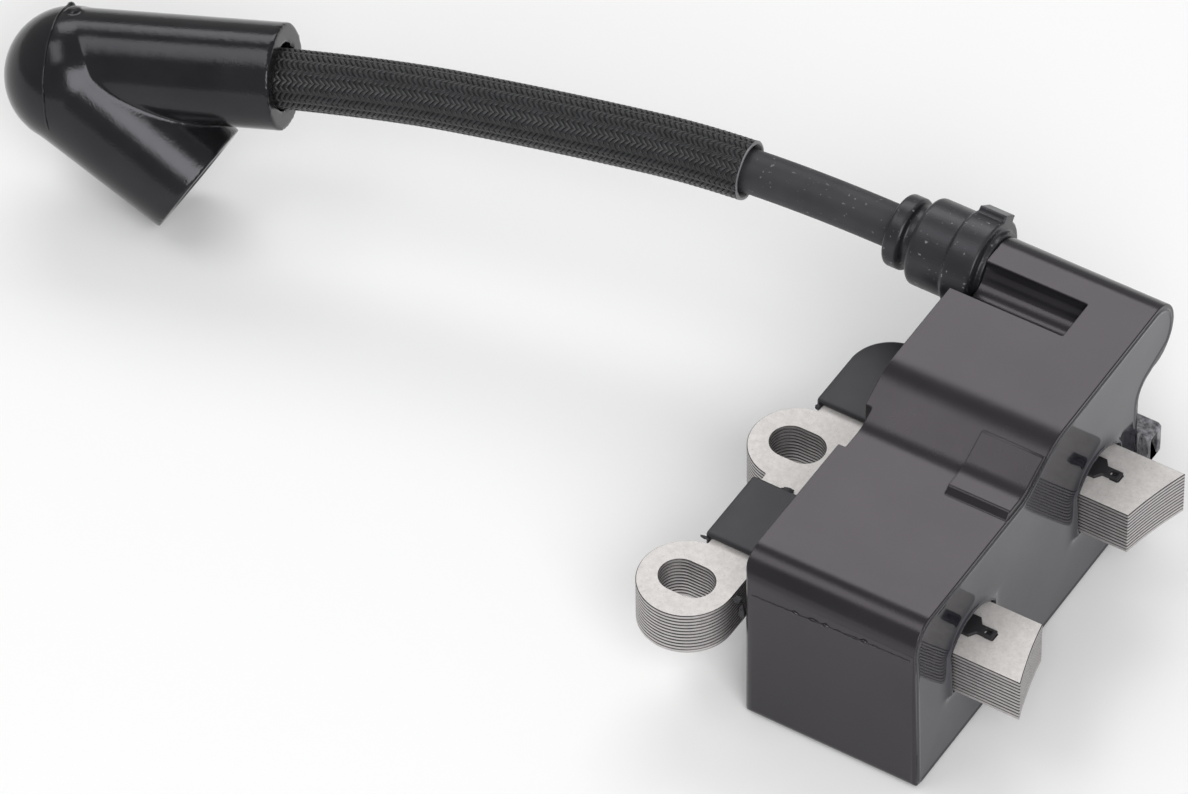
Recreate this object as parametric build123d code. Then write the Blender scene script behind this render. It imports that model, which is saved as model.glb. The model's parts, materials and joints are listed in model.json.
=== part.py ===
from build123d import *
import math
import os

# Ignition coil module of a small two-stroke engine, in millimetres.
# +X points at the flywheel, +Y at the high-tension tower, +Z up from the base plane.
# The origin lies on the base plane, midway along the case and on the symmetry plane of the pole shoes.

# laminated core
SHEETS = 12
SHEET_T = 0.5
CORE_Z0 = 9.6
CORE_Z1 = CORE_Z0 + SHEETS * SHEET_T
LEG_Y = 13.87
LEG_HALF = 4.43
YOKE_X0 = -20.2
YOKE_CORNER_R = 4.6
POLE_TIP_X = 19.75
POLE_R = 55.4
LUG_X = -19.4
LUG_R = 5.7
LUG_YS = (-23.9, -0.3)
LUG_NECK_X1 = -13.7
SLOT_L = 6.6
SLOT_W = 4.7
DIMPLE_X = 13.4
DIMPLE = (1.1, 1.3)
DIMPLE_DEPTH = 0.3

# case
CASE_X0 = -11.2
CASE_X1 = 11.2
CASE_Y0 = -25.76
CASE_TOP_X1 = 10.45
DRAFT_TOP_Z = 29.5
WALL = 1.15
REAR_Y_BOTTOM = 22.5
REAR_Y_TOP = 23.5
DECK_Z = 24.9
DECK_END_Y = -1.8
HIGH_Z = 28.3
HIGH_START_Y = 4.8
FRONT_ROUND = 3.6
RAMP_FOOT_ROUND = 5.0
RAMP_TOP_ROUND = 9.0
BOTTOM_ROUND = 1.3
RIM_ROUND = 0.8
SIDE_NOTCH_Y = (-5.3, 0.4)
SIDE_NOTCH_DEPTH = 0.9
PAD_RISE = 0.8
PAD_Y = (-5.0, 2.4)
PAD_X0 = 2.6

# high-tension tower
TOWER_Y = 27.2
TOWER_Z = 24.4
TOWER_R = 4.16
TOWER_X0 = -9.8
TOWER_STEP_X = 3.3
TOWER_CAVITY_X0 = 4.8
GULLY_Y = 21.6
GULLY_R = 2.8
GLAND_CLEAR_R = 6.2

# route of the lead from the gland to its end in the boot
LEAD_ROUTE = [
    (-22.6, 27.2, 24.4),
    (-41.5, 27.2, 24.4),
    (-65.5, 22.5, 23.5),
    (-89.9, 17.1, 21.8),
    (-117.1, 8.8, 17.8),
]

# high-tension lead
LEAD_R = 2.6
CONDUCTOR_R = 0.9
LEAD_X_IN = 1.0
GLAND_X_OUT = LEAD_ROUTE[0][0]
GLAND_SPIGOT_R = 3.3
GLAND_SPIGOT_X1 = -7.8

# potting and coils
POTTING_SINK = 0.3
COIL_X0 = -9.6
COIL_X1 = 9.4
FLANGE_T = 0.9

# spark plug boot: a domed elbow between an arm on the lead and an arm on the plug
PLUG_YAW = 2.0
PLUG_DROP = 28.0
DOME_R = 8.1
ARM_R = 6.28
ARM_OFFSET = DOME_R - ARM_R
ARM_LENGTH = 26.2
PLUG_LENGTH = 18.9
PLUG_R_ELBOW = 8.0
PLUG_R_MOUTH = 7.3
SOCKET_R = 4.7
SOCKET_DEPTH = 7.0
SPRING_SEAT_R = 4.2
LEAD_BORE_R = LEAD_R + 0.05
LEAD_END = 5.5
SLEEVE_R_IN = 3.05
SLEEVE_R_OUT = 3.69
SLEEVE_START_X = -42.0
SLEEVE_IN_BOOT = 6.0
COUNTERBORE_R = 3.95

os.makedirs("parts", exist_ok=True)


def save(name, shape):
    """Write one named piece, with the solids it is made of, to its own file."""
    solids = shape.solids()
    export_step(solids[0] if len(solids) == 1 else Compound(children=solids), f"parts/{name}.step")


def block(x0, x1, y0, y1, z0, z1):
    """A box between two corners."""
    size = Box(x1 - x0, y1 - y0, z1 - z0)
    return Pos((x0 + x1) / 2, (y0 + y1) / 2, (z0 + z1) / 2) * size


def rod_x(x0, x1, y, z, radius):
    """A round bar along X."""
    return Pos((x0 + x1) / 2, y, z) * Rot(0, 90, 0) * Cylinder(radius, x1 - x0)


def along_x(face, x0, x1):
    """A YZ outline drawn as (y, z) and carried from x0 to x1."""
    return extrude(Plane.YZ.offset(x0) * face, amount=x1 - x0)


def polygon(points):
    """A closed face through points in a plane."""
    return make_face(Polyline(*points, close=True))


def rounded(points, radii):
    """A polygon face with one corner radius for each point, zero for a sharp corner."""
    face = polygon(points)
    for point, radius in zip(points, radii):
        if radius > 0:
            corner = face.vertices().sort_by(lambda v: (v.X - point[0]) ** 2 + (v.Y - point[1]) ** 2)[0]
            face = fillet(corner, radius)
    return face


# ------------------------------------------------------------------ core laminations

def core_outline():
    """The plan of one lamination: yoke, two legs with concave pole shoes and two slotted lugs."""
    leg_out = LEG_Y + LEG_HALF
    leg_in = LEG_Y - LEG_HALF
    yoke = rounded(
        [(YOKE_X0, -leg_out), (CASE_X0, -leg_out), (CASE_X0, leg_out), (YOKE_X0, leg_out)],
        [0, 0, 0, YOKE_CORNER_R],
    )
    plan = yoke
    for side in (-1, 1):
        plan += Pos((CASE_X0 + POLE_TIP_X) / 2, side * LEG_Y) * Rectangle(POLE_TIP_X - CASE_X0, 2 * LEG_HALF)
    for lug_y in LUG_YS:
        plan += Pos(LUG_X, lug_y) * Circle(LUG_R)
    neck_y0 = LUG_YS[0]
    neck = Rectangle(LUG_NECK_X1 - YOKE_X0, -leg_in - neck_y0)
    plan += Pos((YOKE_X0 + LUG_NECK_X1) / 2, (neck_y0 - leg_in) / 2) * neck
    flywheel_x = POLE_TIP_X + math.sqrt(POLE_R**2 - leg_out**2)
    plan -= Pos(flywheel_x, 0) * Circle(POLE_R)
    for lug_y in LUG_YS:
        plan -= Pos(LUG_X, lug_y) * SlotOverall(SLOT_L, SLOT_W)
    return plan


def laminations():
    """Twelve sheets, keyed together by shallow pressed dimples."""
    plan = core_outline()
    sheet = extrude(plan, amount=SHEET_T)
    spots = [(DIMPLE_X, -LEG_Y), (DIMPLE_X, LEG_Y), (-15.5, -LEG_Y)]
    for n in range(SHEETS):
        z0 = CORE_Z0 + n * SHEET_T
        piece = Pos(0, 0, z0) * sheet
        for x, y in spots:
            top = block(x - DIMPLE[0] / 2, x + DIMPLE[0] / 2, y - DIMPLE[1] / 2, y + DIMPLE[1] / 2,
                        z0 + SHEET_T - DIMPLE_DEPTH, z0 + SHEET_T)
            piece -= top
            if n > 0:
                piece += Pos(0, 0, -SHEET_T) * top
        save(f"core_lamination_{n + 1:02d}", piece)
    return extrude(Pos(0, 0, CORE_Z0) * plan, amount=CORE_Z1 - CORE_Z0)


core = laminations()

# ------------------------------------------------------------------ case

def outer_profile():
    """The side outline of the case, as (y, z): low deck, ramp, high deck, round tower end and rear wall."""
    low = math.radians(-52)
    under = (TOWER_Y + TOWER_R * math.cos(low), TOWER_Z + TOWER_R * math.sin(low))
    points = [
        (CASE_Y0, 0),
        (CASE_Y0, DECK_Z),
        (DECK_END_Y, DECK_Z),
        (HIGH_START_Y, HIGH_Z),
        (TOWER_Y, TOWER_Z + TOWER_R),
        under,
        (REAR_Y_TOP, 19.4),
        (REAR_Y_BOTTOM, 0),
    ]
    face = rounded(points, [BOTTOM_ROUND, FRONT_ROUND, RAMP_FOOT_ROUND, RAMP_TOP_ROUND, 0, 0, 2.6, BOTTOM_ROUND])
    face += Pos(TOWER_Y, TOWER_Z) * Circle(TOWER_R)
    return face


def pad_profile():
    """A raised pad that follows the low deck and the ramp, as (y, z)."""
    slope = (HIGH_Z - DECK_Z) / (HIGH_START_Y - DECK_END_Y)
    top_y = PAD_Y[1]
    top_z = DECK_Z + (top_y - DECK_END_Y) * slope
    points = [
        (PAD_Y[0] - PAD_RISE, DECK_Z - WALL),
        (PAD_Y[0] - PAD_RISE, DECK_Z),
        (PAD_Y[0], DECK_Z + PAD_RISE),
        (DECK_END_Y - 0.3, DECK_Z + PAD_RISE),
        (top_y, top_z + PAD_RISE),
        (top_y + 0.5, top_z),
        (top_y + 0.5, DECK_Z - WALL),
    ]
    return rounded(points, [0, 0, 0.5, RAMP_FOOT_ROUND, 0.4, 0, 0])


def case_shell():
    """The moulded case: a box open towards the flywheel, with the lead tower along its rear top edge."""
    profile = outer_profile()
    body = along_x(profile, CASE_X0, CASE_X1)
    front_view = rounded([(CASE_X0, 0), (CASE_X1, 0), (CASE_TOP_X1, DRAFT_TOP_Z), (CASE_X0, DRAFT_TOP_Z)],
                         [BOTTOM_ROUND, RIM_ROUND, 0, 0])
    body &= extrude(Plane.XZ.offset(40) * front_view, amount=-80)
    plan = rounded([(CASE_X0, CASE_Y0), (CASE_X1, CASE_Y0), (CASE_X1, 40), (CASE_X0, 40)],
                   [BOTTOM_ROUND, RIM_ROUND, 0, 0])
    body &= extrude(plan, amount=40)
    inner = offset(profile, amount=-WALL)
    floor_x = CASE_X0 + WALL
    cavity = along_x(inner, floor_x, CASE_X1 + 1)
    cavity -= block(floor_x - 1, TOWER_CAVITY_X0, GULLY_Y - GULLY_R - 1.2, 40, HIGH_Z - GULLY_R - 1.4, 40)
    cavity -= block(floor_x - 1, TOWER_CAVITY_X0, 22.3, 40, 16.0, 40)
    return body, cavity


body, cavity = case_shell()
gully = rod_x(CASE_X0 - 1, TOWER_STEP_X, GULLY_Y, HIGH_Z, GULLY_R)
tower = rod_x(TOWER_X0, TOWER_STEP_X, TOWER_Y, TOWER_Z, TOWER_R)
shell = body - gully
shell -= rod_x(CASE_X0 - 1, TOWER_X0, TOWER_Y, TOWER_Z, GLAND_CLEAR_R)
shell += tower
pad = along_x(pad_profile(), PAD_X0, CASE_TOP_X1 + 0.05)
shell += pad
shell -= cavity
shell -= block(CASE_X0 - 1, CASE_X0 + SIDE_NOTCH_DEPTH, SIDE_NOTCH_Y[0], SIDE_NOTCH_Y[1], CORE_Z1, 40)
shell -= core
shell -= rod_x(TOWER_X0 - 1, GLAND_SPIGOT_X1, TOWER_Y, TOWER_Z, GLAND_SPIGOT_R)
shell -= rod_x(GLAND_SPIGOT_X1 - 1, LEAD_X_IN, TOWER_Y, TOWER_Z, LEAD_R)
shell -= rod_x(LEAD_X_IN - 1, TOWER_CAVITY_X0 + 1, TOWER_Y, TOWER_Z, 0.6)
save("case_shell", shell)

# ------------------------------------------------------------------ yoke covers

def yoke_cover(y0, y1, corner):
    """A moulded sleeve round the yoke, where a leg of the core enters the case."""
    x0 = YOKE_X0 - 0.7
    plan = rounded([(x0, y0), (CASE_X0, y0), (CASE_X0, y1), (x0, y1)], [0, 0, 0, corner])
    return extrude(Pos(0, 0, CORE_Z0 - 0.8) * plan, amount=CORE_Z1 - CORE_Z0 + 1.6) - core


save("yoke_cover_front", yoke_cover(-17.6, -7.4, 0))
save("yoke_cover_rear", yoke_cover(6.2, 19.1, 5.4))

# ------------------------------------------------------------------ coils on the legs

def ring(side, half_out, height_out, half_in, height_in, x0, x1, corner=0.8):
    """A rounded rectangular tube along X, round the leg on one side of the core."""
    mid_z = (CORE_Z0 + CORE_Z1) / 2
    outer = Pos(side * LEG_Y, mid_z) * RectangleRounded(2 * half_out, 2 * height_out, corner)
    inner = Pos(side * LEG_Y, mid_z) * Rectangle(2 * half_in, 2 * height_in)
    return along_x(outer - inner, x0, x1)


def bobbin(side, wall_in, wall_out, flange, splits, x0, x1):
    """A winding former: a thin tube with a flange at each end and evenly spaced splits between."""
    leg = (LEG_HALF + wall_in, (CORE_Z1 - CORE_Z0) / 2 + wall_in)
    tube = (LEG_HALF + wall_out, (CORE_Z1 - CORE_Z0) / 2 + wall_out)
    rim = (LEG_HALF + flange, (CORE_Z1 - CORE_Z0) / 2 + flange)
    shape = ring(side, *tube, *leg, x0, x1, 0.4)
    step = (x1 - x0 - FLANGE_T) / (splits + 1)
    for n in range(splits + 2):
        start = x0 + n * step
        shape += ring(side, *rim, *leg, start, start + FLANGE_T, 1.2)
    return shape


def winding(side, wall_in, wall_out, splits, x0, x1):
    """Wound copper between the flanges of a bobbin, one solid for each section."""
    inner = (LEG_HALF + wall_in, (CORE_Z1 - CORE_Z0) / 2 + wall_in)
    outer = (LEG_HALF + wall_out, (CORE_Z1 - CORE_Z0) / 2 + wall_out)
    step = (x1 - x0 - FLANGE_T) / (splits + 1)
    solids = []
    for n in range(splits + 1):
        start = x0 + n * step + FLANGE_T
        solids.append(ring(side, *outer, *inner, start, start + step - FLANGE_T, 1.0))
    return Compound(children=[s.solid() for s in solids])


charge_bobbin = bobbin(-1, 0.0, 0.8, 5.7, 0, COIL_X0, COIL_X1)
charge_winding = winding(-1, 0.8, 5.0, 0, COIL_X0, COIL_X1)
primary_bobbin = bobbin(1, 0.0, 0.6, 1.3, 0, COIL_X0, COIL_X1)
primary_winding = winding(1, 0.6, 1.2, 0, COIL_X0, COIL_X1)
secondary_bobbin = bobbin(1, 1.3, 1.8, 3.4, 4, COIL_X0, COIL_X1)
secondary_winding = winding(1, 1.8, 3.0, 4, COIL_X0, COIL_X1)
save("charge_bobbin", charge_bobbin)
save("charge_winding", charge_winding)
save("primary_bobbin", primary_bobbin)
save("primary_winding", primary_winding)
save("secondary_bobbin", secondary_bobbin)
save("secondary_winding", secondary_winding)

# ------------------------------------------------------------------ control board and its parts

BOARD_Z = 20.4
BOARD_T = 1.0
BOARD_TOP = BOARD_Z + BOARD_T
board = block(-8.6, 4.2, 1.0, 20.8, BOARD_Z, BOARD_TOP)
capacitor = fillet(block(-8.0, 2.0, 9.6, 16.4, BOARD_TOP, BOARD_TOP + 2.9).edges().filter_by(Axis.Z), 0.8)
thyristor_flat = block(-7.4, -2.6, 3.0, 6.8, BOARD_TOP, BOARD_TOP + 2.6)
thyristor = fillet(thyristor_flat.edges().filter_by(Axis.Z), 1.2)
diodes = [rod_x(-1.0, 3.0, y, BOARD_TOP + 0.8, 0.8) for y in (3.2, 5.4, 7.6)]
resistors = [rod_x(2.4, 4.0, y, BOARD_TOP + 0.5, 0.5) for y in (11.0, 13.4)]
save("control_board", board)
save("storage_capacitor", capacitor)
save("thyristor", thyristor)
save("diodes", Compound(children=[d.solid() for d in diodes]))
save("resistors", Compound(children=[r.solid() for r in resistors]))

# ground strap from the board to the top sheet of the core
STRAP_Y = (10.4, 13.0)
strap = block(CASE_X0 + WALL, COIL_X0 - 0.02, *STRAP_Y, CORE_Z1, BOARD_TOP)
strap += block(COIL_X0 - 0.1, -8.6, *STRAP_Y, BOARD_TOP - 0.4, BOARD_TOP)
save("ground_strap", strap)

# ------------------------------------------------------------------ high-tension contact

SPIKE_TIP_X = -3.4
contact = rod_x(SPIKE_TIP_X + 1.2, TOWER_CAVITY_X0 + 0.7, TOWER_Y, TOWER_Z, 0.6)
tip = Pos(SPIKE_TIP_X + 0.6, TOWER_Y, TOWER_Z) * Rot(0, -90, 0) * Cone(0.6, 0.1, 1.2)
contact += tip
strip_outline = [(TOWER_Y + 1.2, TOWER_Z - 0.8), (TOWER_Y + 1.2, TOWER_Z + 1.2), (TOWER_Y - 1.2, TOWER_Z + 1.2),
                 (18.6, 20.8), (18.6, 19.4), (20.4, 19.4)]
contact += along_x(polygon(strip_outline), TOWER_CAVITY_X0 + 0.7, TOWER_CAVITY_X0 + 1.3)
save("high_tension_contact", contact)

# ------------------------------------------------------------------ collars and hooks where the legs leave the case

COLLAR_X0 = COIL_X1
COLLAR_X1 = 12.0
COLLAR_RISE = 2.5
GAP_RISE = 1.8
HOOK_T = 0.45
HOOK_HALF = 0.65
HOOK_ROOT_HALF = 1.5


def arch(side, half, rise, foot):
    """An arched outline over a leg: straight sides up to the top of the leg and a low round arch above."""
    y = side * LEG_Y
    left = (y - half, CORE_Z1)
    right = (y + half, CORE_Z1)
    base = Line((y - half, foot), (y + half, foot))
    sides = [Line(left, (y - half, foot)), Line((y + half, foot), right)]
    curve = ThreePointArc(left, (y, CORE_Z1 + rise), right)
    return make_face(Wire([base, sides[1], curve, sides[0]]))


def arch_simple(side, half, rise):
    """The low round gap between a leg and its collar."""
    y = side * LEG_Y
    curve = ThreePointArc((y - half, CORE_Z1), (y, CORE_Z1 + rise), (y + half, CORE_Z1))
    return make_face(Wire([curve, Line((y + half, CORE_Z1), (y - half, CORE_Z1))]))


def collar(side):
    """The sleeve round a leg where it leaves the potting, with an arched gap over the leg."""
    y = side * LEG_Y
    outer = arch(side, LEG_HALF + 0.75, COLLAR_RISE, CORE_Z0 - 0.75)
    leg = Pos(y, (CORE_Z0 + CORE_Z1) / 2) * Rectangle(2 * LEG_HALF, CORE_Z1 - CORE_Z0)
    gap = arch_simple(side, LEG_HALF - 0.4, GAP_RISE)
    return along_x(outer - leg, COLLAR_X0, COLLAR_X1) - along_x(gap, COLLAR_X0 + 0.8, COLLAR_X1 + 1)


def hook(side):
    """A flat forked tongue over the leg, whose nib sits in the dimple of the top sheet."""
    y = side * LEG_Y
    root_x = COLLAR_X0 + 0.8
    tip_x = DIMPLE_X + DIMPLE[0] / 2
    outline = [(root_x, y - HOOK_ROOT_HALF), (root_x + 1.2, y - HOOK_ROOT_HALF), (root_x + 1.8, y - HOOK_HALF),
               (tip_x, y - HOOK_HALF), (tip_x, y + HOOK_HALF), (root_x + 1.8, y + HOOK_HALF),
               (root_x + 1.2, y + HOOK_ROOT_HALF), (root_x, y + HOOK_ROOT_HALF)]
    tongue = extrude(Pos(0, 0, CORE_Z1) * polygon(outline), amount=HOOK_T)
    tongue -= block(DIMPLE_X - 0.8, DIMPLE_X + 0.1, y - 0.3, y + 0.3, CORE_Z1, CORE_Z1 + 1)
    nib = block(DIMPLE_X - DIMPLE[0] / 2, tip_x, y - DIMPLE[1] / 2, y + DIMPLE[1] / 2,
                CORE_Z1 - DIMPLE_DEPTH, CORE_Z1)
    return tongue + nib


collars = [collar(-1), collar(1)]
save("leg_collar_front", collars[0])
save("leg_collar_rear", collars[1])
save("core_hook_front", hook(-1))
save("core_hook_rear", hook(1))

# ------------------------------------------------------------------ potting

potting_side = polygon([(CASE_X0, 0), (CASE_X1 - POTTING_SINK, 0), (CASE_TOP_X1 - POTTING_SINK, DRAFT_TOP_Z),
                        (CASE_X0, DRAFT_TOP_Z)])
potting = cavity & extrude(Plane.XZ.offset(40) * potting_side, amount=-80)
potting -= core
for solid in (charge_bobbin, charge_winding, primary_bobbin, primary_winding, secondary_bobbin, secondary_winding,
              board, capacitor, thyristor, *diodes, *resistors, strap, contact, *collars):
    potting -= solid
for side in (-1, 1):
    potting -= along_x(arch_simple(side, LEG_HALF - 0.4, GAP_RISE), COLLAR_X0 + 0.8, 20)
save("potting_resin", max(potting.solids(), key=lambda s: s.volume))

# ------------------------------------------------------------------ kill terminal behind the rear leg

KILL = (7.6, 12.5, 22.9, 26.0, 8.3, 12.9)
BLADE_Y = 24.45
shroud = block(*KILL)
shroud = chamfer(shroud.edges().filter_by(Axis.Y).sort_by(Axis.X)[-2:], 0.4)
shroud -= block(9.2, 20, BLADE_Y - 0.75, BLADE_Y + 0.75, 9.0, 12.2)
shroud -= shell
blade = block(8.4, 11.9, BLADE_Y - 0.25, BLADE_Y + 0.25, 9.2, 12.0)
shroud -= blade
save("kill_terminal_shroud", max(shroud.solids(), key=lambda s: s.volume))
save("kill_terminal_blade", blade)

# ------------------------------------------------------------------ cable gland

GLAND_OUTLINE = [
    (GLAND_X_OUT, LEAD_R, 0),
    (GLAND_X_OUT, 4.35, 0.4),
    (-20.5, 4.35, 0.4),
    (-20.5, 3.6, 0.3),
    (-19.2, 3.6, 0.3),
    (-19.2, 5.25, 0.6),
    (-14.2, 5.25, 0.25),
    (-14.2, 5.8, 0.25),
    (-10.5, 5.8, 0.25),
    (-10.5, 4.6, 0),
    (TOWER_X0, 4.6, 0),
    (TOWER_X0, GLAND_SPIGOT_R, 0),
    (GLAND_SPIGOT_X1, GLAND_SPIGOT_R, 0),
    (GLAND_SPIGOT_X1, LEAD_R, 0),
]
gland_half = rounded([(x, r) for x, r, _ in GLAND_OUTLINE], [corner for _, _, corner in GLAND_OUTLINE])
tower_axis = Pos(0, TOWER_Y, TOWER_Z)
gland = tower_axis * revolve(gland_half, axis=Axis.X)
tab = Pos(-12.2, TOWER_Y, TOWER_Z) * Rot(-38, 0, 0) * Pos(0, 0, 5.5) * Box(3.4, 2.6, 1.8)
gland += tab
gland -= rod_x(GLAND_X_OUT - 1, GLAND_SPIGOT_X1 + 1, TOWER_Y, TOWER_Z, LEAD_R)
save("cable_gland", gland)

# ------------------------------------------------------------------ boot frame

def direction(yaw, rise):
    """A unit vector from its angle in plan and its angle above the base plane, in degrees."""
    flat = math.cos(math.radians(rise))
    yaw = math.radians(yaw)
    return Vector(flat * math.cos(yaw), flat * math.sin(yaw), math.sin(math.radians(rise)))


lead_tip = Vector(*LEAD_ROUTE[-1])
arm_dir = (Vector(*LEAD_ROUTE[-2]) - lead_tip).normalized()
plug_dir = direction(PLUG_YAW, -PLUG_DROP)
elbow_angle = math.acos(arm_dir.dot(plug_dir))
side_dir = (arm_dir.dot(plug_dir) * arm_dir - plug_dir).normalized()
elbow = lead_tip - arm_dir * LEAD_END - side_dir * ARM_OFFSET
boot_frame = Plane(origin=elbow, x_dir=arm_dir, z_dir=side_dir)
print("angle between the boot's arms", round(math.degrees(elbow_angle), 2))
print("boot hinge axis", tuple(round(v, 5) for v in arm_dir))
print("boot elbow", tuple(round(v, 3) for v in elbow))
print("plug mouth centre", tuple(round(v, 3) for v in (elbow + plug_dir * PLUG_LENGTH)))
print("plug axis", tuple(round(v, 5) for v in plug_dir))

# ------------------------------------------------------------------ lead

def route_path(points):
    """Straight runs joined by the largest tangent arcs that their lengths allow."""
    points = [Vector(*p) for p in points]
    radii = []
    for before, corner, after in zip(points, points[1:], points[2:]):
        turn = (corner - before).get_angle(after - corner)
        shorter = min((corner - before).length, (after - corner).length)
        radii.append(0.45 * shorter / math.tan(math.radians(turn) / 2))
        print("lead bend", round(turn, 2), "degrees, radius", round(radii[-1], 1))
    return FilletPolyline(*points, radius=radii)


path = route_path(LEAD_ROUTE)
start_plane = Plane(origin=path @ 0, z_dir=path % 0)


def swept(face):
    """A section carried along the lead from the gland to its end in the boot."""
    return sweep(start_plane * face, path=path)


lead = swept(Circle(LEAD_R) - Circle(CONDUCTOR_R))
conductor = swept(Circle(CONDUCTOR_R))
pin_hole = boot_frame * (Pos(LEAD_END + 1.75, 0, ARM_OFFSET) * Rot(0, 90, 0) * Cylinder(0.45, 3.5))
conductor -= pin_hole
print("lead length", round(path.length, 2), "volume ratio",
      round(lead.volume / (math.pi * (LEAD_R**2 - CONDUCTOR_R**2) * path.length), 4))
save("lead_insulation", lead)
save("lead_conductor", conductor)

lead_root = rod_x(GLAND_X_OUT, LEAD_X_IN, TOWER_Y, TOWER_Z, LEAD_R)
root_core = rod_x(GLAND_X_OUT, LEAD_X_IN, TOWER_Y, TOWER_Z, CONDUCTOR_R)
save("lead_root_insulation", lead_root - root_core)
save("lead_root_conductor", root_core - contact)

sleeve_tube = swept(Circle(SLEEVE_R_OUT) - Circle(SLEEVE_R_IN))
sleeve_keep = boot_frame * block(ARM_LENGTH - SLEEVE_IN_BOOT, 200, -100, 100, -100, 100)
sleeve_cut = Pos(SLEEVE_START_X, TOWER_Y, TOWER_Z) * Rot(0, 0, 6) * block(0, 100, -60, 60, -60, 60)
sleeve = sleeve_tube & sleeve_keep
sleeve -= sleeve_cut
save("braided_sleeve", sleeve)

# ------------------------------------------------------------------ boot

def boot():
    """The rubber boot: a domed elbow, an arm round the lead and an arm that pushes onto the spark plug."""
    plug = Rot(0, 90 + math.degrees(elbow_angle), 0) * Pos(0, 0, PLUG_LENGTH / 2)
    shape = Sphere(DOME_R)
    shape += plug * Cone(PLUG_R_ELBOW, PLUG_R_MOUTH, PLUG_LENGTH)
    shape += Pos(ARM_LENGTH / 2, 0, ARM_OFFSET) * Rot(0, 90, 0) * Cylinder(ARM_R, ARM_LENGTH)
    along_plug = Rot(0, 90 + math.degrees(elbow_angle), 0)
    shape -= along_plug * Pos(0, 0, PLUG_LENGTH / 2 - 1) * Cylinder(SPRING_SEAT_R, PLUG_LENGTH + 2)
    shape -= along_plug * Pos(0, 0, PLUG_LENGTH - SOCKET_DEPTH / 2 + 0.5) * Cylinder(SOCKET_R, SOCKET_DEPTH + 1)
    shape -= Pos(ARM_LENGTH / 2 + 1, 0, ARM_OFFSET) * Rot(0, 90, 0) * Cylinder(LEAD_BORE_R, ARM_LENGTH)
    recess = SLEEVE_IN_BOOT + 0.4
    shape -= Pos(ARM_LENGTH - recess / 2 + 0.5, 0, ARM_OFFSET) * Rot(0, 90, 0) * Cylinder(COUNTERBORE_R, recess + 1)
    shape += Pos(0.6, 0, DOME_R - 0.2) * Cylinder(0.9, 1.1)
    return boot_frame * shape


save("plug_boot", boot())

# ------------------------------------------------------------------ spring connector in the boot

SPRING_R = 3.5
WIRE_R = 0.4
SPRING_TURNS = 4
SPRING_PITCH = 1.0
SPRING_START = 7.2
PIN_BEND = 3.2
PIN_IN_LEAD = 3.0


def wire_run(start, end):
    """A straight length of wire with rounded ends, between two points."""
    axis = Vector(*end) - Vector(*start)
    run = Plane(origin=Vector(*start), z_dir=axis) * Pos(0, 0, axis.length / 2) * Cylinder(WIRE_R, axis.length)
    return run + Pos(*start) * Sphere(WIRE_R) + Pos(*end) * Sphere(WIRE_R)


def plug_spring():
    """A coil spring that grips the plug's cap, and beside its first turn a straight pin into the end of the lead."""
    helix = Helix(pitch=SPRING_PITCH, height=SPRING_TURNS * SPRING_PITCH, radius=SPRING_R)
    section = Plane(origin=helix @ 0, z_dir=helix % 0) * Circle(WIRE_R)
    place = Rot(0, 90 + math.degrees(elbow_angle), 0) * Pos(0, 0, SPRING_START)
    coil = place * sweep(section, path=helix, is_frenet=True)
    first_turn = (place * Vertex(*(helix @ 0))).center()
    bend = Vector(PIN_BEND, 0, ARM_OFFSET)
    link_end = first_turn + (bend - first_turn).normalized() * (2 * WIRE_R + 0.02)
    link = wire_run(tuple(bend), tuple(link_end))
    pin = wire_run((LEAD_END + PIN_IN_LEAD - WIRE_R, 0, ARM_OFFSET), tuple(bend))
    return boot_frame * Compound(children=[coil.solid(), (link + pin).solid()])


save("plug_spring", plug_spring())
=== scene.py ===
import json
import math

import bmesh
import bpy
import numpy as np
from mathutils import Matrix, Vector, noise


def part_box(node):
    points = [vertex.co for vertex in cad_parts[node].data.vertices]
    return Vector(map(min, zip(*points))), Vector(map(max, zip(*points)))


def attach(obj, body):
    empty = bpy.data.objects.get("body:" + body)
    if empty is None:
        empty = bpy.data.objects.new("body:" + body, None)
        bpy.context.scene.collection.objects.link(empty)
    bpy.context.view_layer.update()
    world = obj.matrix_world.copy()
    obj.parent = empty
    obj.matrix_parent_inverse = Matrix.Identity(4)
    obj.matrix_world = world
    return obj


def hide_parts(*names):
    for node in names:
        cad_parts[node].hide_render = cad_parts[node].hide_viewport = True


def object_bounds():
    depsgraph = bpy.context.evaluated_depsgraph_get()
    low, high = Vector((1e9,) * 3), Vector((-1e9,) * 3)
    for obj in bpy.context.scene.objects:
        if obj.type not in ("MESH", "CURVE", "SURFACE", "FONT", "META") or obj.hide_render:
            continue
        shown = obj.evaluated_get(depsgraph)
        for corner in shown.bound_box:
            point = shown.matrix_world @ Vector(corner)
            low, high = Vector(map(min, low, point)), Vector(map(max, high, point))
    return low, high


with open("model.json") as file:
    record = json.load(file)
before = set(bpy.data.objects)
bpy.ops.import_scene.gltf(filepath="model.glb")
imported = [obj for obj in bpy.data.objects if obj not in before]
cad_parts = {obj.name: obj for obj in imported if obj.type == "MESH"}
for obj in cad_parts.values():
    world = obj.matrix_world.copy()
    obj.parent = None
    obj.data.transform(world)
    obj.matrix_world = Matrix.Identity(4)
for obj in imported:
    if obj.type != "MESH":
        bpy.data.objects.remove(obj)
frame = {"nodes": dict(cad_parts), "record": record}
cad_low, cad_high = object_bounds()

MM = 0.001
record = frame["record"]

# route of the free lead: out of the gland, and down to its end in the boot
LEAD_ROUTE = [
    (-0.0226, 0.0272, 0.0244),
    (-0.0415, 0.0272, 0.0244),
    (-0.0655, 0.0225, 0.0235),
    (-0.0899, 0.0171, 0.0218),
    (-0.1171, 0.0088, 0.0178),
]
LEAD_R = 2.6 * MM

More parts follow.
